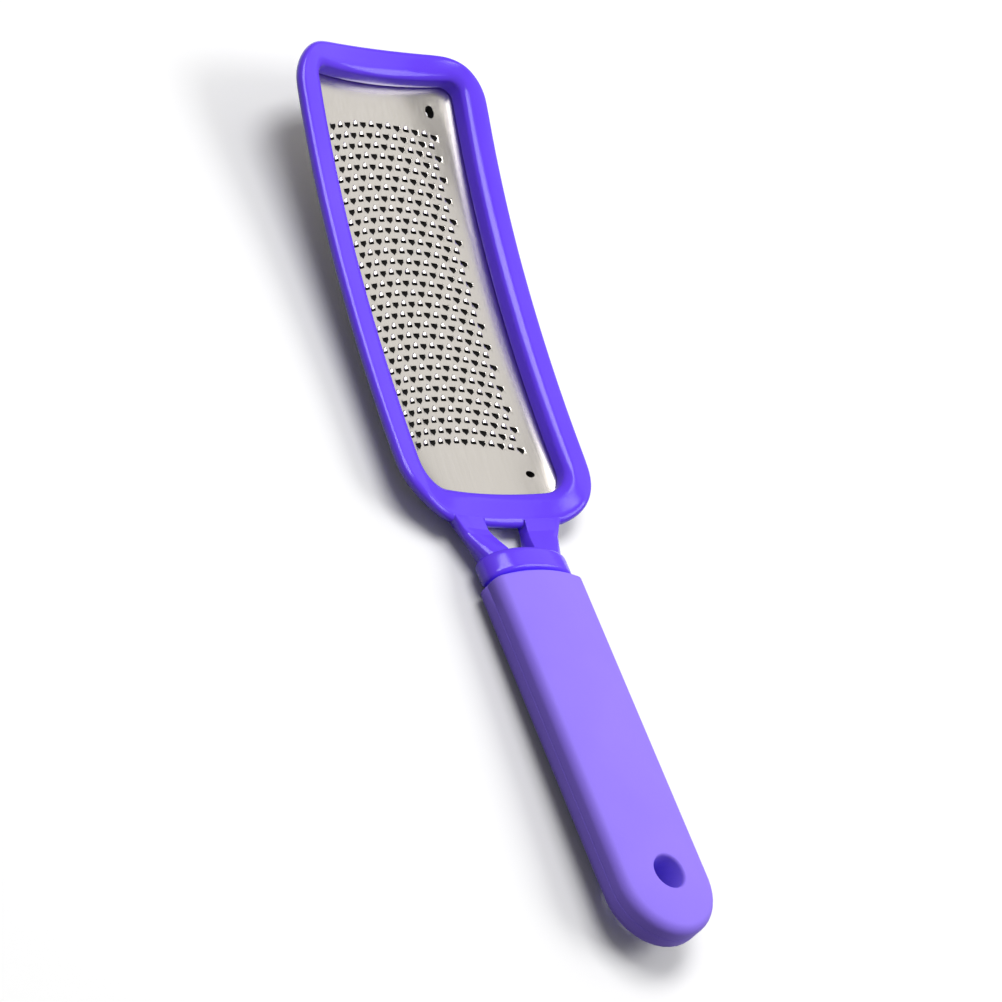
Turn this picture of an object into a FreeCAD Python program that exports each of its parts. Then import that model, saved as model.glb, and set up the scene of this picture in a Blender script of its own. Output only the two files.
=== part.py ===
import FreeCAD, Part
import math
import os
import Sketcher
from FreeCAD import Placement, Rotation, Vector

doc = FreeCAD.newDocument("foot_file")
sheet = doc.addObject("Spreadsheet::Sheet", "sizes")

# Sizes in millimetres and degrees. The datum is the top of the plate at the middle of its teeth:
# x runs across the head, y to the tip, z up out of the hollow side.
sizes = {
    # the dish that the plate and the rim follow
    "dish_radius_across": 238,
    "dish_radius_along": 830,
    "corner_lift": 2.24,
    # the open window of the rim
    "window_width": 47.4,
    "window_tip": 58.4,
    "window_heel": 62.2,
    "window_tip_corner": 3.5,
    "window_heel_corner": 7,
    # the rim round it
    "rim_side": 7.5,
    "rim_tip": 6.1,
    "rim_heel": 8.4,
    "rim_tip_corner": 12.5,
    "rim_heel_corner": 16,
    "rim_tip_bow": 186,
    "rim_height": 5.7,
    "rim_heel_drop": 1.0,
    "rim_tip_rise": 0.4,
    "flange_thickness": 3.7,
    "flange_edge_round": 1.6,
    "rim_inner_round": 1.3,
    "wall_thickness": 2.5,
    "wall_root_round": 0.8,
    "lip": 1.0,
    # the punched plate
    "plate_thickness": 0.5,
    "plate_engagement": 1.2,
    "plate_clearance": 0.03,
    "tooth_rows": 31,
    "teeth_per_row": 13,
    "tooth_pitch": 2.8,
    "row_pitch": 3.0,
    "row_radius": 58.4,
    "tooth_width": 1.7,
    "tooth_length": 1.5,
    "tooth_apex": 1.7,
    "tooth_mouth": 0.3,
    "tooth_lip": 0.12,
    "tooth_height": 0.65,
    "tooth_root": 0.15,
    "locating_hole": 2.5,
    "locating_hole_across": 17,
    "locating_hole_tip": 50.5,
    "locating_hole_heel": 53.5,
    # the two neck struts
    "strut_start_thickness": 5,
    "strut_end_thickness": 7.3,
    "strut_drop": 0.3,
    "strut_start_rise": 0,
    "strut_end_rise": 5,
    "strut_round": 1.9,
    "strut_start": 66,
    "strut_end": 82,
    "strut_outer_start": 17.2,
    "strut_outer_end": 11.6,
    "strut_inner_start": 8.2,
    "strut_inner_end": 3.6,
    # the handle, from the centre of its round end
    "handle_reach": 171.8,
    "handle_rise": 29.3,
    "handle_pitch": 9.74,
    "grip_width": 28.5,
    "grip_side": 9.4,
    "grip_crown": 1.6,
    "grip_length": 86.4,
    "grip_edge_round": 2.6,
    "grip_front_bevel": 0.8,
    "hang_hole": 8.6,
    "hang_hole_offset": 1.3,
    "hang_hole_flare": 1.4,
    "groove": 0.8,
    "groove_depth": 1.2,
    "collar_length": 6.6,
    "collar_width": 27.8,
    "collar_thickness": 12,
    "collar_corner": 5,
    "collar_round": 1.4,
    "tang_length": 68,
    "tang_root_width": 17,
    "tang_tip_width": 13,
    "tang_root_thickness": 6.4,
    "tang_tip_thickness": 5,
    "tang_clearance": 0.03,
    "tang_end_clearance": 0.03,
    # how far the cutting shapes run past the work
    "overrun": 1,
    "prism_up": 30,
    "prism_down": 12,
}
for row, (name, value) in enumerate(sizes.items(), 1):
    sheet.set(f"A{row}", name)
    sheet.set(f"B{row}", str(value))
    sheet.setAlias(f"B{row}", name)
doc.recompute()


def size(name):
    return float(sheet.get(name))


def bind(thing, **expressions):
    for prop, text in expressions.items():
        thing.setExpression(prop.replace("__", "."), text)


def add(kind, name, **expressions):
    thing = doc.addObject(kind, name)
    bind(thing, **expressions)
    return thing


# Sketch helpers. A named dimension is tied to the sheet, and its starting value comes from there too.
def value_of(text):
    return float(sheet.evalExpression(text))


def dimension(sketch, name, kind, *where, text):
    index = sketch.addConstraint(Sketcher.Constraint(kind, *where, value_of(text)))
    sketch.renameConstraint(index, name)
    sketch.setExpression("Constraints." + name, text)


def corner_arc(x, y, radius, start):
    circle = Part.Circle(Vector(x, y, 0), Vector(0, 0, 1), radius)
    return Part.ArcOfCircle(circle, math.radians(start), math.radians(start + 90))


def rounded_outline(name, half, tip, heel, tip_corner, heel_corner):
    sketch = doc.addObject("Sketcher::SketchObject", name)
    w, t, h = value_of(half), value_of(tip), value_of(heel)
    a, b = value_of(tip_corner), value_of(heel_corner)
    right = Part.LineSegment(Vector(w, b - h, 0), Vector(w, t - a, 0))
    left = Part.LineSegment(Vector(-w, t - a, 0), Vector(-w, b - h, 0))
    foot = Part.LineSegment(Vector(b - w, -h, 0), Vector(w - b, -h, 0))
    top = Part.LineSegment(Vector(w - a, t, 0), Vector(a - w, t, 0))
    sketch.addGeometry([
        right, corner_arc(w - a, t - a, a, 0), top, corner_arc(a - w, t - a, a, 90),
        left, corner_arc(b - w, b - h, b, 180), foot, corner_arc(w - b, b - h, b, 270),
    ])
    for k in range(8):
        sketch.addConstraint(Sketcher.Constraint("Tangent", k, 2, (k + 1) % 8, 1))
    sketch.addConstraint(Sketcher.Constraint("Vertical", 0))
    sketch.addConstraint(Sketcher.Constraint("Vertical", 4))
    sketch.addConstraint(Sketcher.Constraint("Horizontal", 2))
    sketch.addConstraint(Sketcher.Constraint("Horizontal", 6))
    sketch.addConstraint(Sketcher.Constraint("Equal", 1, 3))
    sketch.addConstraint(Sketcher.Constraint("Equal", 7, 5))
    dimension(sketch, "tip_corner", "Radius", 1, text=tip_corner)
    dimension(sketch, "heel_corner", "Radius", 7, text=heel_corner)
    dimension(sketch, "right", "DistanceX", -1, 1, 0, 1, text=half)
    dimension(sketch, "left", "DistanceX", 4, 1, -1, 1, text=half)
    dimension(sketch, "heel", "DistanceY", 6, 1, -1, 1, text=heel)
    dimension(sketch, "tip", "DistanceY", -1, 1, 2, 1, text=tip)
    return sketch


def prism(name, sketch, up, down, direction=Vector(0, 0, 1)):
    solid = add("Part::Extrusion", name, LengthFwd=up, LengthRev=down)
    solid.Base = sketch
    solid.DirMode = "Custom"
    solid.Dir = direction
    solid.Solid = True
    return solid


# The dish: two arcs that cross, with the four corners lifted a little more as far out as the plate goes.
def dish_height(x, y):
    lift = size("corner_lift") / (size("window_width") / 2 * size("window_tip")) ** 2
    arcs = x * x / 2 / size("dish_radius_across") + y * y / 2 / size("dish_radius_along")
    border = size("plate_engagement") + size("plate_clearance")
    inner_x = min(abs(x), size("window_width") / 2 + border)
    inner_y = min(abs(y), (size("window_tip") if y > 0 else size("window_heel")) + border)
    return arcs + lift * (inner_x * inner_y) ** 2


def dish_slab(name, low, high):
    x = size("window_width") / 2 + size("rim_side")
    y = max(size("window_tip") + size("rim_tip"), size("window_heel") + size("rim_heel"))
    lift = size("corner_lift") / (size("window_width") / 2 * size("window_tip")) ** 2
    surface = Part.BezierSurface()
    surface.increase(2, 2)
    for i, across in enumerate((x * x, -x * x, x * x)):
        for j, along in enumerate((y * y, -y * y, y * y)):
            z = across / 2 / size("dish_radius_across") + along / 2 / size("dish_radius_along")
            surface.setPole(i + 1, j + 1, Vector(x * (i - 1), y * (j - 1), z + lift * across * along + low))
    slab = doc.addObject("Part::Feature", name)
    slab.Shape = surface.toShape().extrude(Vector(0, 0, high - low))
    return slab


def common(name, first, second):
    both = doc.addObject("Part::Common", name)
    both.Base, both.Tool = first, second
    return both


def cut(name, first, second):
    rest = doc.addObject("Part::Cut", name)
    rest.Base, rest.Tool = first, second
    return rest


def fuse(name, pieces):
    whole = doc.addObject("Part::MultiFuse", name)
    whole.Shapes = pieces
    whole.Refine = True
    return whole


def bevelled(name, base, *bevels):
    doc.recompute()
    body = doc.addObject("PartDesign::Body", name)
    body.BaseFeature = base
    doc.recompute()
    for index, (width, chosen) in enumerate(bevels, 1):
        last = body.Tip
        edges = [f"Edge{k}" for k, edge in enumerate(last.Shape.Edges, 1) if chosen(middle(edge))]
        step = body.newObject("PartDesign::Chamfer", f"{name}_bevel_{index}")
        step.Base = (last, edges)
        step.setExpression("Size", width)
        doc.recompute()
    return body


def middle(edge):
    return edge.valueAt((edge.FirstParameter + edge.LastParameter) / 2)


# Head frame: the rim is one section carried round the window along rails that lie on the dish. A rail
# is set by how far out it stands from the window and how high above the plate.
def rail(out, high):
    share = out / size("rim_side")
    half = size("window_width") / 2 + out
    tip = size("window_tip") + share * size("rim_tip")
    heel = size("window_heel") + share * size("rim_heel")
    a = size("window_tip_corner") + share * (size("rim_tip_corner") - size("window_tip_corner"))
    b = size("window_heel_corner") + share * (size("rim_heel_corner") - size("window_heel_corner"))
    bow = share / 2 / size("rim_tip_bow")
    up = max(0, min(1, (high - size("plate_clearance")) / (size("rim_height") - size("flange_thickness"))))

    def height(x, y):
        bend = size("rim_tip_rise") * (y / tip) ** 2 if y > 0 else -size("rim_heel_drop") * (y / heel) ** 2
        return dish_height(x, y) + high + up * bend

    def run(x0, y0, x1, y1, steps):
        return [(x0 + (x1 - x0) * k / steps, y0 + (y1 - y0) * k / steps) for k in range(steps)]

    def corner(x, y, radius, start):
        turns = [math.radians(start + 22.5 * k) for k in range(4)]
        return [(x + radius * math.cos(t), y + radius * math.sin(t)) for t in turns]

    path = run(half, b - heel, half, tip - a, 10) + corner(half - a, tip - a, a, 0)
    path += run(half - a, tip, a - half, tip, 8) + corner(a - half, tip - a, a, 90)
    path += run(-half, tip - a, -half, b - heel, 10) + corner(b - half, b - heel, b, 180)
    path += run(b - half, -heel, half - b, -heel, 8) + corner(half - b, b - heel, b, 270)
    bent = [(x, y - bow * x * x * max(0, y) / tip) for x, y in path]
    return Part.makePolygon([Vector(x, y, height(x, y)) for x, y in bent + bent[:1]])


def arc_points(out, high, radius, start, stop, steps):
    turns = [math.radians(start + (stop - start) * k / steps) for k in range(steps + 1)]
    return [(out + radius * math.cos(t), high + radius * math.sin(t)) for t in turns]


def rim_section():
    edge, inner, root = size("flange_edge_round"), size("rim_inner_round"), size("wall_root_round")
    top, width, wall = size("rim_height"), size("rim_side"), size("wall_thickness")
    under = top - size("flange_thickness")
    foot = -size("plate_thickness") - size("lip")
    seat, play = size("plate_engagement") + size("plate_clearance"), size("plate_clearance")
    section = [(0, play)]
    section += arc_points(inner, top - inner, inner, 180, 90, 2)
    section += arc_points(width - edge, top - edge, edge, 90, 0, 3)
    section += arc_points(width - edge, under + edge, edge, 0, -90, 2)
    section += arc_points(wall + root, under - root, root, 90, 180, 1)
    section += [(wall, foot), (0, foot)]
    section += [(0, -size("plate_thickness") - play), (seat, -size("plate_thickness") - play), (seat, play)]
    return section


rails = [rail(out, high) for out, high in rim_section()]
skin = Part.makeLoft(rails + rails[:1], False, True)
skin.sewShape()
rim = doc.addObject("Part::Feature", "rim")
rim.Shape = Part.Solid(skin.Shells[0])


# Neck: two struts that leave the flange in its own line.
def strut_section(name, place):
    sketch = rounded_outline(name, f"(sizes.strut_outer_{place} - sizes.strut_inner_{place}) / 2",
                             f"sizes.strut_{place}_thickness / 2", f"sizes.strut_{place}_thickness / 2",
                             "sizes.strut_round", "sizes.strut_round")
    x = (size("strut_outer_" + place) + size("strut_inner_" + place)) / 2
    y = -size("strut_" + place)
    z = dish_height(0, y) + size("rim_height") - size("rim_heel_drop") - size("strut_drop")
    z += size(f"strut_{place}_rise") - size(f"strut_{place}_thickness") / 2
    sketch.Placement = Placement(Vector(x, y, z), upright)
    return sketch


upright = Rotation(Vector(1, 0, 0), 90)
strut = doc.addObject("Part::Loft", "strut")
strut.Sections = [strut_section("strut_start_section", "start"), strut_section("strut_end_section", "end")]
strut.Solid = True
strut.Ruled = True
strut_mirror = doc.addObject("Part::Mirroring", "strut_mirror")
strut_mirror.Source = strut
strut_mirror.Normal = Vector(1, 0, 0)

# Collar, groove and tang stand in the handle's own frame, pitched up from the head.
handle = Placement(Vector(0, -size("handle_reach"), size("handle_rise")),
                   Rotation(Vector(1, 0, 0), -size("handle_pitch")))
handle_line = handle.Rotation.multVec(Vector(0, 1, 0))
grip_middle = -size("grip_side") / 2


def collar_outline(name, y, inset):
    half, high = f"(sizes.collar_width / 2 - {inset})", f"(sizes.collar_thickness / 2 - {inset})"
    corner = f"(sizes.collar_corner - {inset})"
    sketch = rounded_outline(name, half, high, high, corner, corner)
    sketch.Placement = handle.multiply(Placement(Vector(0, y, grip_middle), upright))
    return sketch


collar_face = size("grip_length") + size("groove")
collar_steps = []
for share in (0, 0.3, 1):
    drop = 1 - math.sqrt(1 - (1 - share) ** 2)
    collar_steps.append((size("collar_round") * share, drop))
collar_steps += [(size("collar_length") - y, drop) for y, drop in reversed(collar_steps)]
collar = doc.addObject("Part::Loft", "collar")
collar.Sections = [collar_outline(f"collar_outline_{k}", collar_face + y, f"sizes.collar_round * {drop:.6f}")
                   for k, (y, drop) in enumerate(collar_steps)]
collar.Solid = True
collar.Ruled = True
groove_outline = collar_outline("groove_outline", collar_face + size("collar_length") / 2,
                                "sizes.groove_depth")
groove_floor = prism("groove_floor", groove_outline, "0",
                     "sizes.collar_length / 2 + sizes.groove - sizes.tang_clearance", handle_line)


def wedge(name, end, start, clearance):
    ends = {"": "tang_tip", "2": "tang_root"}
    solid = add("Part::Wedge", name, Ymin=end, Ymax=start)
    for mark, place in ends.items():
        for axis, extent, centre in (("X", "width", ""), ("Z", "thickness", " - sizes.grip_side / 2")):
            half = f"sizes.{place}_{extent} / 2 + {clearance}"
            solid.setExpression(f"{axis}{mark}min", f"-({half}){centre}")
            solid.setExpression(f"{axis}{mark}max", f"{half}{centre}")
    return solid


tang_start = "sizes.grip_length + sizes.groove + sizes.overrun"
tang_end = "sizes.grip_length + sizes.groove - sizes.tang_length"
tang = wedge("tang", tang_end, tang_start, "0")
tang.Placement = handle
head_frame = fuse("head_frame", [rim, strut, strut_mirror, collar, groove_floor, tang])

# Rasp plate: a dished sheet whose border sits in the groove of the rim.
sheet_outline = rounded_outline(
    "sheet_outline", "sizes.window_width / 2 + sizes.plate_engagement",
    "sizes.window_tip + sizes.plate_engagement * sizes.rim_tip / sizes.rim_side",
    "sizes.window_heel + sizes.plate_engagement * sizes.rim_heel / sizes.rim_side",
    "sizes.window_tip_corner + sizes.plate_engagement", "sizes.window_heel_corner + sizes.plate_engagement")
sheet_blank = common("sheet_blank", prism("sheet_prism", sheet_outline, "sizes.prism_up", "sizes.prism_down"),
                     dish_slab("sheet_dish", -size("plate_thickness"), 0))


# Teeth stand in bowed rows, every other row half a pitch over. Along a row a raised tooth, its lip towards the
# handle, and a three-sided opening, its point towards the handle, take turns.
def three_sided_opening():
    half, reach = size("tooth_width") / 2, size("tooth_length") / 2
    low, high = -2 * size("plate_thickness"), size("plate_thickness")
    points = [Vector(-half, reach, low), Vector(half, reach, low), Vector(0, -reach, low)]
    return Part.Face(Part.makePolygon(points + points[:1])).extrude(Vector(0, 0, high - low))


def tooth_places():
    lift = size("corner_lift") / (size("window_width") / 2 * size("window_tip")) ** 2
    rows, count = int(size("tooth_rows")), int(size("teeth_per_row"))
    for i in range(rows):
        for j in range(count):
            x = (j - (count - 1) / 2 - i % 2 / 2) * size("tooth_pitch")
            y = ((rows - 1) / 2 - i) * size("row_pitch") - x * x / 2 / size("row_radius")
            slope_x = x / size("dish_radius_across") + 2 * lift * x * y * y
            slope_y = y / size("dish_radius_along") + 2 * lift * x * x * y
            fan = Rotation(Vector(0, 0, 1), -math.degrees(math.asin(x / size("row_radius"))))
            lean = Rotation(Vector(0, 0, 1), Vector(-slope_x, -slope_y, 1))
            raised = (count - 1 - j + i) % 2 == 1
            yield Placement(Vector(x, y, dish_height(x, y)), lean.multiply(fan)), raised


def raised_tooth():
    half, root = size("tooth_width") / 2, -size("tooth_root")
    corners = [Vector(0, size("tooth_apex"), root), Vector(-half, size("tooth_mouth"), root),
               Vector(half, size("tooth_mouth"), root), Vector(0, size("tooth_lip"), size("tooth_height"))]
    sides = [(0, 1, 2), (0, 1, 3), (1, 2, 3), (2, 0, 3)]
    faces = [Part.Face(Part.makePolygon([corners[k] for k in three + three[:1]])) for three in sides]
    return Part.Solid(Part.Shell(faces))


opening, tooth = three_sided_opening(), raised_tooth()
openings, teeth = [], []
for place, raised in tooth_places():
    if raised:
        teeth.append(tooth.transformed(place.toMatrix()))
    else:
        openings.append(opening.transformed(place.toMatrix()))
# Two locating holes by the right-hand edge of the sheet.
for y in (size("locating_hole_tip"), -size("locating_hole_heel")):
    foot = Vector(size("locating_hole_across"), y, -size("prism_down"))
    openings.append(Part.makeCylinder(size("locating_hole") / 2, size("prism_up"), foot))
tooth_openings = doc.addObject("Part::Feature", "tooth_openings")
tooth_openings.Shape = Part.makeCompound(openings)
raised_teeth = doc.addObject("Part::Feature", "raised_teeth")
raised_teeth.Shape = Part.makeCompound(teeth)
punched = cut("punched_sheet", sheet_blank, tooth_openings)
rasp_plate = doc.addObject("Part::Fuse", "rasp_plate")
rasp_plate.Base, rasp_plate.Tool = punched, raised_teeth


# Grip sleeve: half of a crowned section in short flats, run along the handle, mirrored and turned round the end.
def grip_half_section():
    sketch = doc.addObject("Sketcher::SketchObject", "grip_half_section")
    sketch.Placement = Placement(Vector(0, 0, 0), upright)
    half, edge, crown = "sizes.grip_width / 2", "sizes.grip_edge_round", "sizes.grip_crown"
    upper = [("0", crown), (f"{half} * 0.5", f"{crown} * 0.75"), (f"{half} - {edge}", f"{crown} * 0.33"),
             (f"{half} - {edge} * 0.5", f"{crown} * 0.17 - {edge} * 0.134"),
             (f"{half} - {edge} * 0.134", f"-{edge} * 0.5"), (half, f"-{edge}")]
    lower = [(x, f"-sizes.grip_side - ({z})") for x, z in reversed(upper)]
    points = upper + lower
    places = [Vector(value_of(x), value_of(z), 0) for x, z in points]
    sketch.addGeometry([Part.LineSegment(a, b) for a, b in zip(places, places[1:] + places[:1])])
    for k, (x, z) in enumerate(points):
        sketch.addConstraint(Sketcher.Constraint("Coincident", k - 1 if k else len(points) - 1, 2, k, 1))
        dimension(sketch, f"x_{k}", "DistanceX", -1, 1, k, 1, text=x)
        dimension(sketch, f"z_{k}", "DistanceY", -1, 1, k, 1, text=z)
    return sketch


half_section = grip_half_section()
grip_half = prism("grip_half", half_section, "sizes.grip_length", "0", Vector(0, 1, 0))
grip_other = doc.addObject("Part::Mirroring", "grip_other")
grip_other.Source = grip_half
grip_other.Normal = Vector(1, 0, 0)
grip_end = doc.addObject("Part::Revolution", "grip_end")
grip_end.Source = half_section
grip_end.Axis = Vector(0, 0, 1)
grip_end.Angle = -180
grip_end.Solid = True
grip_blank = fuse("grip_blank", [grip_half, grip_other, grip_end])
grip = bevelled("grip", grip_blank, ("sizes.grip_front_bevel", lambda p: p.y > size("grip_length") - 0.01))
socket = wedge("tang_socket", tang_end + " - sizes.tang_end_clearance", tang_start, "sizes.tang_clearance")
bore = add("Part::Cylinder", "hang_bore", Radius="sizes.hang_hole / 2",
           Height="sizes.grip_side + 2 * sizes.grip_crown + 2 * sizes.overrun",
           Placement__Base__y="sizes.hang_hole_offset",
           Placement__Base__z="-sizes.grip_side - sizes.grip_crown - sizes.overrun")
flare_height = "sizes.hang_hole_flare + sizes.overrun"
flare_top = add("Part::Cone", "hang_flare_top", Radius1="sizes.hang_hole / 2",
                Radius2="sizes.hang_hole / 2 + " + flare_height, Height=flare_height,
                Placement__Base__y="sizes.hang_hole_offset",
                Placement__Base__z="sizes.grip_crown - sizes.hang_hole_flare")
flare_bottom = add("Part::Cone", "hang_flare_bottom", Radius1="sizes.hang_hole / 2 + " + flare_height,
                   Radius2="sizes.hang_hole / 2", Height=flare_height,
                   Placement__Base__y="sizes.hang_hole_offset",
                   Placement__Base__z="-sizes.grip_side - sizes.grip_crown - sizes.overrun")
hang_cutter = fuse("hang_cutter", [bore, flare_top, flare_bottom])
grip_sleeve = cut("grip_sleeve", cut("hollow_grip", grip, socket), hang_cutter)

doc.recompute()
for thing in doc.Objects:
    if "Invalid" in thing.State or "Error" in thing.State:
        raise RuntimeError(thing.Name + " did not build")
nodes = [head_frame, rasp_plate, grip_sleeve]
for node in nodes:
    if node.Shape.isNull() or not node.Shape.isValid() or len(node.Shape.Solids) != 1:
        raise RuntimeError(node.Name + " is not one sound solid")

# At rest the file lies on the heel of its head and the front of its handle, and both touch the table.
grip_sleeve.Placement = handle


def outline_points(node):
    return [(p.y, p.z) for p in node.Shape.tessellate(0.05)[0]]


def lowest(points, turn):
    return min(y * math.sin(turn) + z * math.cos(turn) for y, z in points)


every = outline_points(head_frame) + outline_points(grip_sleeve)
head_points = [point for point in every if point[0] > -size("strut_start")]
handle_points = [point for point in every if point[0] < -size("strut_end")]
low, high = 0.0, math.radians(size("handle_pitch"))
for step in range(40):
    turn = (low + high) / 2
    if lowest(handle_points, turn) > lowest(head_points, turn):
        low = turn
    else:
        high = turn
along = [y * math.cos(turn) - z * math.sin(turn) for y, z in every]
rest = Placement(Vector(0, -(min(along) + max(along)) / 2, -lowest(every, turn)),
                 Rotation(Vector(1, 0, 0), math.degrees(turn)))
for node, own in ((head_frame, Placement()), (rasp_plate, Placement()), (grip_sleeve, handle)):
    node.Placement = rest.multiply(own)

os.makedirs("parts", exist_ok=True)
for node in nodes:
    node.Label = node.Name
    node.Shape.exportStep(f"parts/{node.Label}.step")
    box = node.Shape.BoundBox
    print(node.Label, round(node.Shape.Volume), box)
hole = rest.multiply(handle).multVec(Vector(0, size("hang_hole_offset"), grip_middle))
print("rest turn", math.degrees(turn), "hang hole", hole)
print("hang hole axis", rest.multiply(handle).Rotation.multVec(Vector(0, 0, 1)))
print("rest", rest)
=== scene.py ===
import math
import bmesh
import bpy
from bmesh.types import BMEdge, BMFace, BMVert
from mathutils import Matrix, Vector


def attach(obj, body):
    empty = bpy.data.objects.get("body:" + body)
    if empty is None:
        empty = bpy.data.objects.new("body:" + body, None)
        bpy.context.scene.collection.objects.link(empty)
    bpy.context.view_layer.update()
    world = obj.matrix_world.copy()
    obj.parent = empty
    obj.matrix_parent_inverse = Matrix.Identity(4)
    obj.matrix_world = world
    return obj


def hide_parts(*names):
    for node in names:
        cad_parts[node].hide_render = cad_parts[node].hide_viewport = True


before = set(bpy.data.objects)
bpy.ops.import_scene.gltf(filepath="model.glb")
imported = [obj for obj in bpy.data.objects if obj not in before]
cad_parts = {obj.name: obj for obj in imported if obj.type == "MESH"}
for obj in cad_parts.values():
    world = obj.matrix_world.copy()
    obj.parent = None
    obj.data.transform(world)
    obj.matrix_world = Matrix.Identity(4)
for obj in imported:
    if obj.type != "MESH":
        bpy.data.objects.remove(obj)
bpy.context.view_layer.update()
scene = bpy.context.scene
print("frame loaded")

# every piece is drawn in millimetres in the head's or the handle's own frame, then laid at rest
restPose = {"turn": 6.75261, "shift": (0, 62.6732, 6.60494)}
handlePose = {"pitch": -9.74, "shift": (0, -171.8, 29.3)}
headPlace = (Matrix.Scale(0.001, 4) @ Matrix.Translation(restPose["shift"])
             @ Matrix.Rotation(math.radians(restPose["turn"]), 4, "X"))
handleInHead = (Matrix.Translation(handlePose["shift"])
                @ Matrix.Rotation(math.radians(handlePose["pitch"]), 4, "X"))
handlePlace = headPlace @ handleInHead

# tolerances in millimetres: for picking vertices by place, and for a vertex that lies on a cutting plane
tiny = 0.001
snap = 0.0001
# decimals by which a copied vertex is found again
digits = 4


def mix(a, b, share):
    return a + (b - a) * share


def clamp(share):
    return min(1, max(0, share))


def ease(share):
    return share * share * (3 - 2 * share)


# mesh helpers
def only(kind, geom):
    return [g for g in geom if isinstance(g, kind)]


def wholeMesh(bm):
    return bm.verts[:] + bm.edges[:] + bm.faces[:]


def cutPlane(bm, geom, at, normal, trim=False):
    bmesh.ops.bisect_plane(bm, geom=geom, dist=snap, plane_co=at, plane_no=normal, clear_outer=trim)


def roundOff(bm, geom, radius, cuts, affect="EDGES"):
    bmesh.ops.bevel(bm, geom=geom, offset=radius, offset_type="OFFSET", affect=affect,
                    segments=cuts, profile=0.5, material=-1)


# materials: a hex colour is turned into linear light by the sRGB curve
def linear(hexColor):
    parts = [int(hexColor[i:i + 2], 16) / 255 for i in (1, 3, 5)]
    return [c / 12.92 if c < 0.04045 else ((c + 0.055) / 1.055) ** 2.4 for c in parts] + [1]


def addNode(tree, kind, settings=None, inputs=None):
    node = tree.nodes.new(kind)
    for key, value in (settings or {}).items():
        setattr(node, key, value)
    for key, value in (inputs or {}).items():
        if isinstance(value, bpy.types.NodeSocket):
            tree.links.new(value, node.inputs[key])
        else:
            node.inputs[key].default_value = value
    return node


def newMaterial(name, fixed):
    material = bpy.data.materials.new(name)
    material.use_nodes = True
    tree = material.node_tree
    tree.nodes.clear()
    shader = addNode(tree, "ShaderNodeBsdfPrincipled", inputs=fixed)
    addNode(tree, "ShaderNodeOutputMaterial", inputs={"Surface": shader.outputs[0]})
    return material, tree, shader


def objectCoords(tree):
    return addNode(tree, "ShaderNodeTexCoord").outputs["Object"]


def noise(tree, coords, sizeMm, detail):
    return addNode(tree, "ShaderNodeTexNoise", inputs={
        "Vector": coords, "Scale": 1000 / sizeMm, "Detail": detail}).outputs[0]


def tintBy(tree, shader, pattern, spec):
    # inputs 6 and 7 of a colour mix are its two colours, and output 2 is the mixed one
    tint = addNode(tree, "ShaderNodeMix", {"data_type": "RGBA"}, {
        "Factor": pattern, 6: linear(spec["deep"]), 7: linear(spec["light"])})
    tree.links.new(tint.outputs[2], shader.inputs["Base Color"])


def roughBy(tree, shader, pattern, ends):
    rough = addNode(tree, "ShaderNodeMapRange", inputs={
        "Value": pattern, "To Min": ends[0], "To Max": ends[1]})
    tree.links.new(rough.outputs[0], shader.inputs["Roughness"])


def bumpBy(tree, shader, pattern, strength, deepMm):
    bump = addNode(tree, "ShaderNodeBump", inputs={
        "Height": pattern, "Strength": strength, "Distance": deepMm / 1000})
    tree.links.new(bump.outputs[0], shader.inputs["Normal"])


# violet ABS, injection moulded and polished: deep colour, sharp gloss, a trace of orange peel
absSpec = {
    "light": "#734CFF", "deep": "#6238F6", "flowMm": 30, "gloss": (0.13, 0.2),
    "peelMm": 2.5, "peel": 0.03, "peelDeepMm": 0.2,
}
violetAbs, tree, shader = newMaterial("violetMouldedAbs", {"IOR": 1.53, "Specular IOR Level": 0.32})
coords = objectCoords(tree)
flow = noise(tree, coords, absSpec["flowMm"], detail=3)
tintBy(tree, shader, flow, absSpec)
roughBy(tree, shader, flow, absSpec["gloss"])
peel = noise(tree, coords, absSpec["peelMm"], detail=1)
bumpBy(tree, shader, peel, absSpec["peel"], absSpec["peelDeepMm"])

# soft rubber overmould: paler violet, matt, with a spark-eroded grain, coarser than real so that it shows
gripFinish = {
    "light": "#9E83FF", "deep": "#9479FC", "cloudMm": 22, "matt": (0.5, 0.62),
    "grainMm": 0.7, "grain": 0.22, "grainDeepMm": 0.12,
}
softRubber, tree, shader = newMaterial("softTouchRubber", {"IOR": 1.5, "Specular IOR Level": 0.2})
coords = objectCoords(tree)
cloud = noise(tree, coords, gripFinish["cloudMm"], detail=4)
tintBy(tree, shader, cloud, gripFinish)
grain = noise(tree, coords, gripFinish["grainMm"], detail=2)
roughBy(tree, shader, grain, gripFinish["matt"])
bumpBy(tree, shader, grain, gripFinish["grain"], gripFinish["grainDeepMm"])

# bright-annealed stainless sheet: a warm grey mirror with faint rolling lines along the file
steelSpec = {"light": "#E2DDD6", "deep": "#D5CFC7", "lineMm": 0.5, "stretch": 0.02, "mirror": (0.17, 0.25)}
stainless, tree, shader = newMaterial("polishedStainless", {"Metallic": 1})
rolled = addNode(tree, "ShaderNodeMapping", inputs={
    "Vector": objectCoords(tree), "Scale": (1, steelSpec["stretch"], 1)})
lines = noise(tree, rolled.outputs[0], steelSpec["lineMm"], detail=3)
tintBy(tree, shader, lines, steelSpec)
roughBy(tree, shader, lines, steelSpec["mirror"])

# painted shade: a dull, nearly black steel on cut edges, pressed teeth, hole cones and the leaves under
# raised teeth, so that they read as black slots
shadeSteelSpec = {"light": "#1F1E1D", "deep": "#0B0A0A", "mottleMm": 0.4}
paintedShadeSteel, tree, shader = newMaterial("paintedShadeInOpenings", {"Roughness": 0.8, "Specular IOR Level": 0.1})
shadeMottle = noise(tree, objectCoords(tree), shadeSteelSpec["mottleMm"], detail=2)
tintBy(tree, shader, shadeMottle, shadeSteelSpec)
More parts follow.
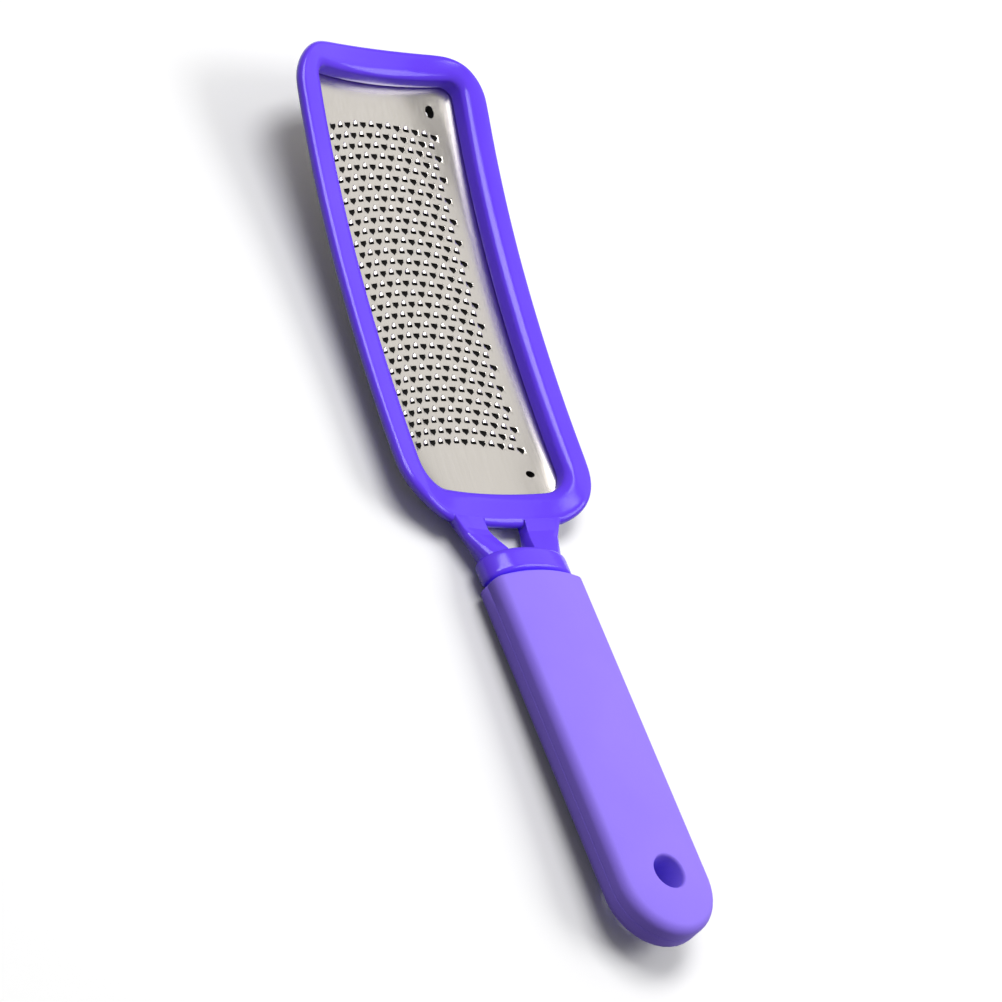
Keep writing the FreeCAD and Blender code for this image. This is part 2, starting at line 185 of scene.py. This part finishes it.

# drawn steel of the raised teeth: the punch leaves it satin, and its colour is lighter than the sheet's as a
# painted highlight, so that each tooth catches the light
drawnHighlightSpec = {"light": "#F4F1EC", "deep": "#E4E0DA", "drawMm": 0.8}
drawnSteelAndHighlight, tree, shader = newMaterial("drawnToothSteelAndHighlight", {"Metallic": 1, "Roughness": 0.42})
draw = noise(tree, objectCoords(tree), drawnHighlightSpec["drawMm"], detail=2)
tintBy(tree, shader, draw, drawnHighlightSpec)
print("materials ready")


def finishPiece(bm, name, node, place, materials, sharpAngle, levels=0):
    bmesh.ops.transform(bm, matrix=place, verts=bm.verts)
    for face in bm.faces:
        face.smooth = True
    mesh = bpy.data.meshes.new(name)
    bm.to_mesh(mesh)
    bm.free()
    mesh.set_sharp_from_angle(angle=math.radians(sharpAngle))
    for material in materials:
        mesh.materials.append(material)
    piece = bpy.data.objects.new(name, mesh)
    scene.collection.objects.link(piece)
    if levels:
        smoother = piece.modifiers.new("smoother", "SUBSURF")
        smoother.levels = smoother.render_levels = levels
    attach(piece, "root")
    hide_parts(node)
    print(name, len(mesh.polygons), "faces")


# the dish that plate and rim follow: two crossed arcs, with the corners lifted as far out as the plate goes
dishSpec = {"across": 238, "along": 830, "lift": 1.1693e-6, "edge": (24.93, 59.4, 63.5)}


def dishHeight(x, y):
    edge = dishSpec["edge"]
    inX = min(abs(x), edge[0])
    inY = min(abs(y), edge[1] if y > 0 else edge[2])
    arcs = x * x / 2 / dishSpec["across"] + y * y / 2 / dishSpec["along"]
    return arcs + dishSpec["lift"] * (inX * inY) ** 2


# head frame: rim, neck struts and collar in one moulding; window and rim are given for side, tip and heel,
# corners for tip and heel, rounds as width and height, and the slot as depth, floor and roof
headSpec = {
    "window": (23.5, 56.2, 61.4), "windowCorner": (3.5, 7), "rim": (7.7, 8.3, 9.2), "rimCorner": (12.5, 16),
    "tipBow": 186, "height": 5.63, "flange": 3.65, "wall": 2.7, "foot": -1.5, "footRound": 0.3,
    "tipRise": 0.4, "heelDrop": 1.0, "bendReach": 7, "slot": (1.4, -0.36, 0.16),
    "innerRound": (2.8, 1.5), "edgeRound": (2.0, 1.75), "rootRound": (0.8, 0.8),
    "innerCuts": 5, "edgeCuts": (5, 4), "rootCuts": 2, "sideCuts": 18, "endCuts": 10, "cornerCuts": 7,
}


def quarterRound(out, high, radii, start, stop, steps):
    turns = [math.radians(mix(start, stop, k / steps)) for k in range(steps + 1)]
    return [(out + radii[0] * math.cos(t), high + radii[1] * math.sin(t)) for t in turns]


def rimHeight(x, y, high):
    reach = headSpec["window"][1] if y > 0 else headSpec["window"][2]
    bend = headSpec["tipRise"] if y > 0 else -headSpec["heelDrop"]
    up = clamp(high / (headSpec["height"] - headSpec["flange"]))
    return dishHeight(x, y) + high + up * bend * (y / (reach + headSpec["bendReach"])) ** 2


def rimRail(bm, out, high):
    share = out / headSpec["rim"][0]
    half, tip, heel = [a + share * b for a, b in zip(headSpec["window"], headSpec["rim"])]
    radii = zip(headSpec["windowCorner"], headSpec["rimCorner"])
    tipCorner, heelCorner = [mix(a, b, share) for a, b in radii]
    before = set(bm.edges)
    outline = ((half, -heel), (half, tip), (-half, tip), (-half, -heel))
    corners = [bm.verts.new((x, y, 0)) for x, y in outline]
    bm.faces.new(corners)
    for verts, radius in ((corners[1:3], tipCorner), (corners[::3], heelCorner)):
        roundOff(bm, verts, radius, headSpec["cornerCuts"], "VERTICES")
    loop = [e for e in bm.edges if e not in before]
    bmesh.ops.delete(bm, geom=list({f for e in loop for f in e.link_faces}), context="FACES_ONLY")
    straight = sorted(loop, key=lambda e: e.calc_length())[-4:]  # the two ends, then the two sides
    bmesh.ops.subdivide_edges(bm, edges=straight[2:], cuts=headSpec["sideCuts"])
    bmesh.ops.subdivide_edges(bm, edges=straight[:2], cuts=headSpec["endCuts"])
    loop = [e for e in bm.edges if e not in before]
    for vert in {v for e in loop for v in e.verts}:
        x, y = vert.co.x, vert.co.y
        y -= share * x * x * max(0, y) / tip / 2 / headSpec["tipBow"]
        vert.co = (x, y, rimHeight(x, y, high))
    return loop


rimWidth, rimTop = headSpec["rim"][0], headSpec["height"]
rimUnder = rimTop - headSpec["flange"]
innerRound, edgeRound, rootRound = headSpec["innerRound"], headSpec["edgeRound"], headSpec["rootRound"]
wall, foot, footRound = headSpec["wall"], headSpec["foot"], headSpec["footRound"]
slotDepth, slotLow, slotHigh = headSpec["slot"]
topCuts, underCuts = headSpec["edgeCuts"]
innerCuts, rootCuts = headSpec["innerCuts"], headSpec["rootCuts"]
edgeMiddle = rimWidth - edgeRound[0]
section = [(0, slotHigh)]
section += quarterRound(innerRound[0], rimTop - innerRound[1], innerRound, 180, 90, innerCuts)
section += quarterRound(edgeMiddle, rimTop - edgeRound[1], edgeRound, 90, 0, topCuts)
section += quarterRound(edgeMiddle, rimUnder + edgeRound[1], edgeRound, 0, -90, underCuts)
section += quarterRound(wall + rootRound[0], rimUnder - rootRound[1], rootRound, 90, 180, rootCuts)
section += [(wall, foot + footRound), (wall - footRound, foot), (footRound, foot), (0, foot + footRound)]
section += [(0, slotLow), (slotDepth, slotLow), (slotDepth, slotHigh)]
bm = bmesh.new()
rails = [rimRail(bm, out, high) for out, high in section]
for k, loop in enumerate(rails):
    bmesh.ops.bridge_loops(bm, edges=loop + rails[(k + 1) % len(rails)])
bmesh.ops.recalc_face_normals(bm, faces=bm.faces)
print("rim", len(bm.faces), "faces")

# two struts drawn out of the heel's edge and up to the collar; a pair gives the heel's end, then the collar's
strutSpec = {
    "inner": (6.8, 2.4), "outer": (17.2, 11.8), "along": (-70.6, -83.5), "top": 13.4, "bottom": 5.0,
    "swing": 0.85, "softInside": 0.3, "softOutside": 1, "softening": 3.5, "steps": 7,
    "barBehind": -57, "rootBehind": -68.8, "columns": (0, 0.12, 0.35, 0.55, 0.72, 0.87, 1),
}
strutInner, strutOuter = strutSpec["inner"][0], strutSpec["outer"][0]


def strutPoint(share, across, up):
    inner, outer = mix(*strutSpec["inner"], share), mix(*strutSpec["outer"], share)
    startTop = rimHeight(mix(strutInner, strutOuter, across), strutSpec["along"][0], rimTop)
    rise = mix(share, ease(share), strutSpec["swing"])
    top = mix(startTop, strutSpec["top"], rise)
    bottom = mix(startTop - headSpec["flange"], strutSpec["bottom"], math.sqrt(share))
    u, v = 2 * across - 1, 2 * up - 1
    soft = strutSpec["softInside"] if u < 0 else strutSpec["softOutside"]  # flatter inside, round outside
    soft *= math.sqrt(min(1, strutSpec["softening"] * share))
    u, v = u * math.sqrt(1 - soft * v * v / 2), v * math.sqrt(1 - soft * u * u / 2)
    return mix(inner, outer, u / 2 + 0.5), mix(*strutSpec["along"], share), mix(bottom, top, v / 2 + 0.5)


for across in strutSpec["columns"]:
    x = mix(strutInner, strutOuter, across)
    for side in (-1, 1):
        parts = bm.faces[:] + bm.edges[:]
        heelBar = [g for g in parts if max(v.co.y for v in g.verts) < strutSpec["barBehind"]]
        cutPlane(bm, heelBar, (side * x, 0, 0), (1, 0, 0))
for side in (-1, 1):
    middles = {f: f.calc_center_median() for f in bm.faces}
    grown = [f for f, m in middles.items()
             if m.y < strutSpec["rootBehind"] and strutInner < side * m.x < strutOuter]
    marks = {}
    for vert in {v for f in grown for v in f.verts}:
        across = (abs(vert.co.x) - strutInner) / (strutOuter - strutInner)
        top = rimHeight(vert.co.x, vert.co.y, rimTop)
        marks[vert] = (across, clamp(1 - (top - vert.co.z) / headSpec["flange"]))
    for step in range(1, strutSpec["steps"] + 1):
        spots = {v.co.to_tuple(digits): mark for v, mark in marks.items()}
        out = bmesh.ops.extrude_face_region(bm, geom=grown)["geom"]
        grown = only(BMFace, out)
        marks = {v: spots[v.co.to_tuple(digits)] for v in only(BMVert, out)}
        for vert, (across, up) in marks.items():
            x, y, z = strutPoint(step / strutSpec["steps"], across, up)
            vert.co = (side * x, y, z)
print("struts", len(bm.faces), "faces")

# collar and groove floor in the handle's frame
collarSpec = {
    "width": 27.8, "thickness": 12, "length": 6.6, "fullness": 2.25, "lip": 1.4, "bulge": 1.0, "start": 87.2,
    "grooveDepth": 1.2, "grooveEnds": (-0.75, 3), "grooveLip": 0.2, "gripMiddle": -4.7,
    "sides": 56, "lipCuts": 5,
}


def ovalRing(bm, width, thickness, start, end, lip):
    before = set(bm.verts)
    rim = bmesh.ops.create_circle(bm, cap_ends=True, radius=1, segments=collarSpec["sides"])["verts"]
    for vert in rim:  # an oval a little fuller than an ellipse
        out, high = [math.copysign(abs(c) ** (2 / collarSpec["fullness"]), c) for c in vert.co.xy]
        vert.co = (out * width / 2, start, high * thickness / 2)
    cap = [f for f in bm.faces if all(v not in before for v in f.verts)]
    drawn = bmesh.ops.extrude_face_region(bm, geom=cap)["geom"]
    bmesh.ops.translate(bm, vec=(0, end - start, 0), verts=only(BMVert, drawn))
    newEdges = [e for e in bm.edges if e.verts[0] not in before]
    ends = [e for e in newEdges if abs(e.verts[0].co.y - e.verts[1].co.y) < tiny]
    roundOff(bm, ends, lip, collarSpec["lipCuts"])
    ring = [v for v in bm.verts if v not in before]
    for vert in ring:
        vert.co.y -= collarSpec["bulge"] * (2 * vert.co.x / collarSpec["width"]) ** 2
    return ring


collarStart, collarEnd = collarSpec["start"], collarSpec["start"] + collarSpec["length"]
block = ovalRing(bm, collarSpec["width"], collarSpec["thickness"], collarStart, collarEnd, collarSpec["lip"])
floorDepth = 2 * collarSpec["grooveDepth"]
floorStart, floorEnd = [collarStart + g for g in collarSpec["grooveEnds"]]
block += ovalRing(bm, collarSpec["width"] - floorDepth, collarSpec["thickness"] - floorDepth,
                  floorStart, floorEnd, collarSpec["grooveLip"])
bmesh.ops.translate(bm, vec=(0, 0, collarSpec["gripMiddle"]), verts=block)
bmesh.ops.transform(bm, matrix=handleInHead, verts=block)
bmesh.ops.recalc_face_normals(bm, faces=bm.faces)
finishPiece(bm, "headFrame", "head_frame", headPlace, [violetAbs], sharpAngle=80, levels=2)

# grip sleeve: a crowned bar with a round end, drawn as a sheet round the hang hole and given its depth
gripSpec = {
    "half": 14.25, "side": 8.6, "crown": 2.0, "length": 86.4, "split": 14, "steps": 8,
    "edge": 2.1, "edgeCuts": 8, "front": 0.7, "frontCuts": 4, "cornerRadians": 1,
    "holeRadius": 4.3, "holeAt": 1.3, "holeRound": 0.7, "holeCuts": 6, "holeSides": 48,
    "rings": (0.22, 0.42, 0.62, 1), "seamWidth": 0.14, "seamDepth": 0.12, "bulge": 1.0, "bulgeShare": 0.25,
}


def towardsEdge(direction):
    half, at, split = gripSpec["half"], gripSpec["holeAt"], gripSpec["split"]
    along = at * direction.y
    reach = -along + math.sqrt(along * along + half * half - at * at)
    if at + reach * direction.y > 0:
        reach = half / max(abs(direction.x), tiny)
        if direction.y > 0:
            reach = min(reach, (split - at) / direction.y)
    return reach


bm = bmesh.new()
centre = Vector((0, gripSpec["holeAt"], 0))
ring = bmesh.ops.create_circle(bm, cap_ends=False, radius=gripSpec["holeRadius"],
                               segments=gripSpec["holeSides"])["verts"]
bmesh.ops.translate(bm, vec=centre, verts=ring)
edges = bm.edges[:]
for share in gripSpec["rings"]:
    out = bmesh.ops.extrude_edge_only(bm, edges=edges)["geom"]
    edges = only(BMEdge, out)
    for vert in only(BMVert, out):
        direction = (vert.co - centre).normalized()
        vert.co = centre + direction * mix(gripSpec["holeRadius"], towardsEdge(direction), share)
for side in (-1, 1):  # the two corners where the end meets the straight run
    corner = Vector((side * gripSpec["half"], gripSpec["split"], 0))
    nearest = min({v for e in edges for v in e.verts}, key=lambda v: (v.co - corner).length)
    nearest.co = corner
for step in range(1, gripSpec["steps"] + 1):
    lastY = max(v.co.y for v in bm.verts) - tiny
    edges = [e for e in bm.edges if all(v.co.y > lastY for v in e.verts)]
    out = bmesh.ops.extrude_edge_only(bm, edges=edges)["geom"]
    for vert in only(BMVert, out):
        vert.co.y = mix(gripSpec["split"], gripSpec["length"], step / gripSpec["steps"])
out = bmesh.ops.extrude_face_region(bm, geom=bm.faces[:])["geom"]
bmesh.ops.translate(bm, vec=(0, 0, -gripSpec["side"]), verts=only(BMVert, out))
bmesh.ops.recalc_face_normals(bm, faces=bm.faces)


def nearHole(vert):
    return (vert.co.xy - centre.xy).length < gripSpec["holeRadius"] + tiny


def isCorner(edge):
    return len(edge.link_faces) == 2 and edge.calc_face_angle() > gripSpec["cornerRadians"]


frontY = gripSpec["length"] - tiny
corners = [e for e in bm.edges if isCorner(e) and abs(e.verts[0].co.z - e.verts[1].co.z) < tiny]
holeEdges = [e for e in corners if all(nearHole(v) for v in e.verts)]
rimEdges = [e for e in corners if e not in holeEdges and not all(v.co.y > frontY for v in e.verts)]
roundOff(bm, rimEdges, gripSpec["edge"], gripSpec["edgeCuts"])
roundOff(bm, [e for e in holeEdges if e.is_valid], gripSpec["holeRound"], gripSpec["holeCuts"])
frontEdges = [e for e in bm.edges if isCorner(e) and all(v.co.y > frontY for v in e.verts)]
roundOff(bm, frontEdges, gripSpec["front"], gripSpec["frontCuts"])
middle = -gripSpec["side"] / 2
for z in (-1, 0, 1):  # mould parting line round the side
    cutPlane(bm, wholeMesh(bm), (0, 0, middle + z * gripSpec["seamWidth"]), (0, 0, 1))
bulgeFrom = 1 - gripSpec["bulgeShare"]
for vert in bm.verts:
    flat = Vector((vert.co.x, min(0, vert.co.y), 0))
    if abs(vert.co.z - middle) < tiny and not nearHole(vert):
        vert.co -= flat.normalized() * gripSpec["seamDepth"]
    nearFront = max(0, vert.co.y / gripSpec["length"] - bulgeFrom) / gripSpec["bulgeShare"]
    vert.co.y -= gripSpec["bulge"] * nearFront * (vert.co.x / gripSpec["half"]) ** 2
    rise = 1 - min(1, flat.length / gripSpec["half"]) ** 2
    vert.co.z = middle + (vert.co.z - middle) * (1 + gripSpec["crown"] * rise / -middle)
bmesh.ops.recalc_face_normals(bm, faces=bm.faces)
finishPiece(bm, "gripSleeve", "grip_sleeve", handlePlace, [softRubber], sharpAngle=40)

# rasp plate: a sheet laid out flat in half-pitch cells, punched, bowed into rows, dished and made solid;
# the last line of sizes compares the upward part of a face's normal
plateSpec = {
    "pitch": 2.8, "rowPitch": 3.0, "rows": 31, "teeth": 13, "bowRadius": 58.4, "bowFade": 6,
    "half": 24.75, "tip": 57.6, "heel": 63.0, "corner": (4.6, 8.2), "curl": 0.14, "curlWidth": 3,
    "thickness": 0.36, "sideCuts": 4, "tipCuts": 5, "heelCuts": 6, "cornerCuts": 6,
    "flipBelow": -0.01, "flatSheet": 0.5, "brightTooth": 0.15,
}
pitch, rowPitch, rows = plateSpec["pitch"], plateSpec["rowPitch"], plateSpec["rows"]
half, tip, heel = plateSpec["half"], plateSpec["tip"], plateSpec["heel"]
columns = 2 * plateSpec["teeth"] + 1
fieldLeft, fieldTop = -plateSpec["teeth"] * pitch / 2 - pitch / 2, rows * rowPitch / 2
fieldRight = fieldLeft + columns * pitch / 2
bm = bmesh.new()
punched = bm.faces.layers.int.new("punched")
# the third kind of face is coloured with painted shade
sheetFace, raisedFace, paintedShadeFace = 0, 1, 2
grid = bmesh.ops.create_grid(bm, x_segments=columns, y_segments=rows, size=0.5)["verts"]
bmesh.ops.scale(bm, vec=(columns * pitch / 2, rows * rowPitch, 1), verts=grid)
bmesh.ops.translate(bm, vec=(fieldLeft + columns * pitch / 4, 0, 0), verts=grid)


def growBorder(bm, axis, start, end, cuts):
    for k in range(cuts):
        at = mix(start, end, k / cuts)
        edges = [e for e in bm.edges if all(abs(v.co[axis] - at) < tiny for v in e.verts)]
        out = bmesh.ops.extrude_edge_only(bm, edges=edges)["geom"]
        for vert in only(BMVert, out):
            vert.co[axis] = mix(start, end, (k + 1) / cuts)


growBorder(bm, 0, fieldLeft, -half, plateSpec["sideCuts"])
growBorder(bm, 0, fieldRight, half, plateSpec["sideCuts"])
growBorder(bm, 1, fieldTop, tip, plateSpec["tipCuts"])
growBorder(bm, 1, -fieldTop, -heel, plateSpec["heelCuts"])

# the six corners of a tooth, keyed by whether they are off the middle and whether they are upper, each with
# its place out, along and high: in the sheet, where the punch moves it, and on a raised tooth's scooped back
toothSpec = {
    "up": {
        "sheet": {(0, 1): (0, 1.42, 0), (1, 1): (0.92, 0.25, 0),
                  (1, 0): (0.88, -0.48, 0), (0, 0): (0, -0.55, 0)},
        "punched": {(1, 0): (0.6, 0.1, 0.27), (0, 0): (0, 0.02, 0.55)},
        "back": {-1: (0.48, 0.8, 0.26), 0: (0, 1, 0.5), 1: (0.48, 0.8, 0.26)},
    },
    "down": {
        "sheet": {(0, 1): (0, 0.78, -0.02), (1, 1): (1.04, 0.76, -0.02),
                  (1, 0): (1, -0.06, -0.02), (0, 0): (0, -1.04, -0.02)},
        "punched": {(0, 1): (0, 1.12, -0.75)},
    },
    "slack": 0.1, "fullCell": 0.9, "margin": 0.45, "backAt": 0.3, "shadeLeafDepth": 0.3, "shadeLeafThickness": 0.05,
}


def rowOf(y):
    return math.floor((fieldTop - y) / rowPitch)


# pairs of half cells become one tooth cell, every other row half a pitch over
joints = []
for edge in bm.edges:
    spot = (edge.verts[0].co + edge.verts[1].co) / 2
    upright = abs(edge.verts[0].co.x - edge.verts[1].co.x) < tiny
    if upright and abs(spot.y) < fieldTop and fieldLeft + tiny < spot.x < fieldRight - tiny:
        column = round((spot.x - fieldLeft) / (pitch / 2))
        if column % 2 == rowOf(spot.y) % 2:
            joints.append(edge)
bmesh.ops.dissolve_edges(bm, edges=joints, use_verts=False)
cellArea = toothSpec["fullCell"] * pitch * rowPitch
cells = [f for f in bm.faces if len(f.verts) == 6 and f.calc_area() > cellArea]
print("plate", len(cells), "tooth cells")
bmesh.ops.inset_individual(bm, faces=cells, thickness=toothSpec["margin"], use_even_offset=True)


def cornerKey(vert, middle):
    offMiddle = abs(vert.co.x - middle.x) >= toothSpec["slack"]
    upper = vert.co.y > middle.y + toothSpec["slack"]
    return int(offMiddle), int(upper)


def placeCorner(vert, middle, corners, key):
    if key in corners:
        out, along, high = corners[key]
        vert.co = (middle.x + math.copysign(out, vert.co.x - middle.x), middle.y + along, high)


teeth, cuts, shadeLeaves = [], [], []
for face in cells:
    spot = face.calc_center_bounds()
    row = rowOf(spot.y)
    middle = Vector((round(spot.x / (pitch / 2)) * pitch / 2, fieldTop - (row + 0.5) * rowPitch))
    column = round((middle.x - fieldLeft) / pitch - (1 if row % 2 == 0 else 0.5))
    kind = "up" if (plateSpec["teeth"] - 1 - column + row) % 2 else "down"
    hinge = [e for e in face.edges if all(cornerKey(v, middle)[1] for v in e.verts)]
    # a raised tooth is cut below, a pressed one above
    cuts += [e for e in face.edges if (e in hinge) == (kind == "down")]
    for vert, key in [(v, cornerKey(v, middle)) for v in face.verts]:
        placeCorner(vert, middle, toothSpec[kind]["sheet"], key)
    if kind == "up":  # a dark leaf of painted shade closes the hollow under a raised tooth
        copy = bmesh.ops.duplicate(bm, geom=[face])["geom"]
        shadeLeaves += only(BMFace, copy)
        bmesh.ops.translate(bm, vec=(0, 0, -toothSpec["shadeLeafDepth"]), verts=only(BMVert, copy))
    teeth.append((face, middle, kind))
bmesh.ops.split_edges(bm, edges=cuts)
for face, middle, kind in teeth:
    corners = {}
    for vert in face.verts:
        key = cornerKey(vert, middle)
        corners[key if key[0] == 0 else (math.copysign(1, vert.co.x - middle.x), key[1])] = vert
        placeCorner(vert, middle, toothSpec[kind]["punched"], key)
    facets = [face, bmesh.utils.face_split(face, corners[0, 1], corners[0, 0])[0]]
    for part in facets[:]:  # facets fan out from the hinge side
        side = math.copysign(1, part.calc_center_median().x - middle.x)
        facets.append(bmesh.utils.face_split(part, corners[0, 1], corners[side, 0])[0])
    if kind == "up":  # the back of a raised tooth is a scoop
        backs = {}
        for side, (out, along, high) in toothSpec["up"]["back"].items():
            fold = bm.edges.get((corners[0, 1], corners[side, 0]))
            backs[side] = bmesh.utils.edge_split(fold, corners[0, 1], toothSpec["backAt"])[1]
            backs[side].co = (middle.x + side * out, middle.y + along, high)
        for side in (-1, 1):
            part = next(f for f in backs[side].link_faces if f in backs[0].link_faces)
            facets.append(bmesh.utils.face_split(part, backs[side], backs[0])[0])
    # a pressed tooth is coloured wholly with painted shade; a raised one is marked for the lighter steel
    for part in facets:
        part[punched] = raisedFace if kind == "up" else paintedShadeFace

# two locating holes by the right edge, each lined with a cone that narrows downwards and is coloured with
# painted shade
holeSpec = {
    "places": ((17, 50.5), (17, -53.5)), "radius": 1.25, "depth": 1.8, "narrowing": 0.5,
    "clearRadius": 1.75, "margin": 0.15, "cuts": 2,
}
for place in holeSpec["places"]:
    spot = Vector(place)
    cleared = [v for v in bm.verts if (v.co.xy - spot).length < holeSpec["clearRadius"]]
    bmesh.ops.dissolve_verts(bm, verts=cleared)
    joined = [f for f in bm.faces if len(f.verts) > 4]
    face = min(joined, key=lambda f: (f.calc_center_bounds().xy - spot).length)
    bmesh.ops.inset_individual(bm, faces=[face], thickness=holeSpec["margin"])
    bmesh.ops.subdivide_edges(bm, edges=list(face.edges), cuts=holeSpec["cuts"])
    for vert in face.verts:
        vert.co.xy = spot + (vert.co.xy - spot).normalized() * holeSpec["radius"]
    edges = list(face.edges)
    bmesh.ops.delete(bm, geom=[face], context="FACES_ONLY")
    out = bmesh.ops.extrude_edge_only(bm, edges=edges)["geom"]
    for vert in only(BMVert, out):
        vert.co.z -= holeSpec["depth"]
        vert.co.xy = spot + (vert.co.xy - spot) * holeSpec["narrowing"]
    for side in only(BMFace, out):
        side[punched] = paintedShadeFace

# trim the corners, bow the rows, lay the sheet on the dish with its border curled up into the rim's slot
tipCorner, heelCorner = plateSpec["corner"]
for sideX in (-1, 1):
    for sideY, edgeY, corner in ((1, tip, tipCorner), (-1, heel, heelCorner)):
        for k in range(1, plateSpec["cornerCuts"]):
            turn = math.radians(90 * k / plateSpec["cornerCuts"])
            out = Vector((sideX * math.cos(turn), sideY * math.sin(turn), 0))
            at = Vector((sideX * (half - corner), sideY * (edgeY - corner), 0)) + out * corner
            cutPlane(bm, wholeMesh(bm), at, out, trim=True)
for vert in bm.verts:
    x, y = vert.co.x, vert.co.y
    fadeY = (tip if y > 0 else heel) - plateSpec["bowFade"]
    y -= clamp((fadeY - abs(y)) / (fadeY - fieldTop)) * x * x / 2 / plateSpec["bowRadius"]
    inside = min(a - b for a, b in zip(headSpec["window"], (abs(x), y, -y)))
    curl = plateSpec["curl"] * clamp(1 - inside / plateSpec["curlWidth"]) ** 2
    vert.co = (x, y, dishHeight(x, y) + vert.co.z + curl)

# every face looks up before the sheet and the painted-shade leaves are given their thickness
bm.normal_update()
for face in bm.faces:
    if face.normal.z < plateSpec["flipBelow"]:
        face.normal_flip()
sheet = [f for f in bm.faces if f not in shadeLeaves]
bmesh.ops.solidify(bm, geom=sheet, thickness=plateSpec["thickness"])
out = bmesh.ops.solidify(bm, geom=shadeLeaves, thickness=toothSpec["shadeLeafThickness"])["geom"]
for face in shadeLeaves + only(BMFace, out):
    face[punched] = paintedShadeFace
# material slots: 0 polished sheet, 1 dark steel of painted shade on cut edges, pressed teeth and in openings,
# 2 drawn steel of raised teeth, lighter as a painted highlight
# upturned faces of raised teeth take the painted highlight; cut walls and downturned tooth faces take the
# painted shade
for face in bm.faces:
    if face[punched] == sheetFace and abs(face.normal.z) > plateSpec["flatSheet"]:
        face.material_index = 0
    elif face[punched] == raisedFace and face.normal.z > plateSpec["brightTooth"]:
        face.material_index = 2
    else:
        face.material_index = 1
plateSteels = [stainless, paintedShadeSteel, drawnSteelAndHighlight]
finishPiece(bm, "raspPlate", "rasp_plate", headPlace, plateSteels, sharpAngle=32)

# camera from the photograph's viewing angle
cameraSpec = {
    "place": (-0.64867, -0.404114, 0.644314), "target": (-0.00278, -0.004035, 0.01), "roll": 48.0572,
    "lens": 143.71, "sensor": 36, "clipEnd": 50,
}
camera = bpy.data.objects.new("camera", bpy.data.cameras.new("camera"))
scene.collection.objects.link(camera)
look = (Vector(cameraSpec["target"]) - Vector(cameraSpec["place"])).to_track_quat("-Z", "Y")
roll = Matrix.Rotation(math.radians(cameraSpec["roll"]), 4, "Z")
camera.matrix_world = Matrix.Translation(cameraSpec["place"]) @ look.to_matrix().to_4x4() @ roll
camera.data.lens = cameraSpec["lens"]
camera.data.sensor_width = cameraSpec["sensor"]
camera.data.clip_end = cameraSpec["clipEnd"]
scene.camera = camera

# floor: a paper sweep, white to the eye and in reflections, greyer in the light that it throws back up
floorSpec = {"half": 6, "white": "#FDFDFD", "rough": 0.9, "bounce": "#565656"}
bm = bmesh.new()
bmesh.ops.create_grid(bm, x_segments=1, y_segments=1, size=floorSpec["half"])
mesh = bpy.data.meshes.new("floor")
bm.to_mesh(mesh)
bm.free()
floor = bpy.data.objects.new("floor", mesh)
scene.collection.objects.link(floor)
paper, tree, shader = newMaterial("paperSweep", {
    "Base Color": linear(floorSpec["white"]), "Roughness": floorSpec["rough"]})
path = addNode(tree, "ShaderNodeLightPath")
seen = addNode(tree, "ShaderNodeMath", {"operation": "ADD"}, {
    0: path.outputs["Is Camera Ray"], 1: path.outputs["Is Glossy Ray"]})
seen = addNode(tree, "ShaderNodeMath", {"operation": "ADD", "use_clamp": True}, {
    0: seen.outputs[0], 1: path.outputs["Is Transmission Ray"]})
dull = addNode(tree, "ShaderNodeBsdfDiffuse", inputs={"Color": linear(floorSpec["bounce"])})
sweep = addNode(tree, "ShaderNodeMixShader", inputs={
    0: seen.outputs[0], 1: dull.outputs[0], 2: shader.outputs[0]})
tree.links.new(sweep.outputs[0], tree.nodes["Material Output"].inputs["Surface"])
mesh.materials.append(paper)

# light: a dim white world, a broad lamp overhead, a faint panel that the plate mirrors, a lamp on the right
worldSpec = {"color": (1, 1, 1, 1), "strength": 0.24}
world = bpy.data.worlds.new("studio")
scene.world = world
world.use_nodes = True
background = world.node_tree.nodes["Background"]
background.inputs["Color"].default_value = worldSpec["color"]
background.inputs["Strength"].default_value = worldSpec["strength"]
lamps = {
    "overhead": {"place": (-0.2, 0.46, 1.53), "power": 16.4, "size": (1.25, 0.58)},
    "panel": {"place": (1.08, 0.393, 0.964), "power": 2.2, "size": (1.03, 1.03)},
    "side": {"place": (0.9, -0.375, 1.14), "power": 8, "size": (0.75, 0.75)},
}
for name, spec in lamps.items():
    data = bpy.data.lights.new(name, "AREA")
    data.energy = spec["power"]
    data.shape = "RECTANGLE"
    data.size, data.size_y = spec["size"]
    lamp = bpy.data.objects.new(name, data)
    scene.collection.objects.link(lamp)
    lamp.location = spec["place"]
    lamp.rotation_euler = (-Vector(spec["place"])).to_track_quat("-Z", "Y").to_euler()
scene.view_settings.view_transform = "Standard"
print("stage ready")
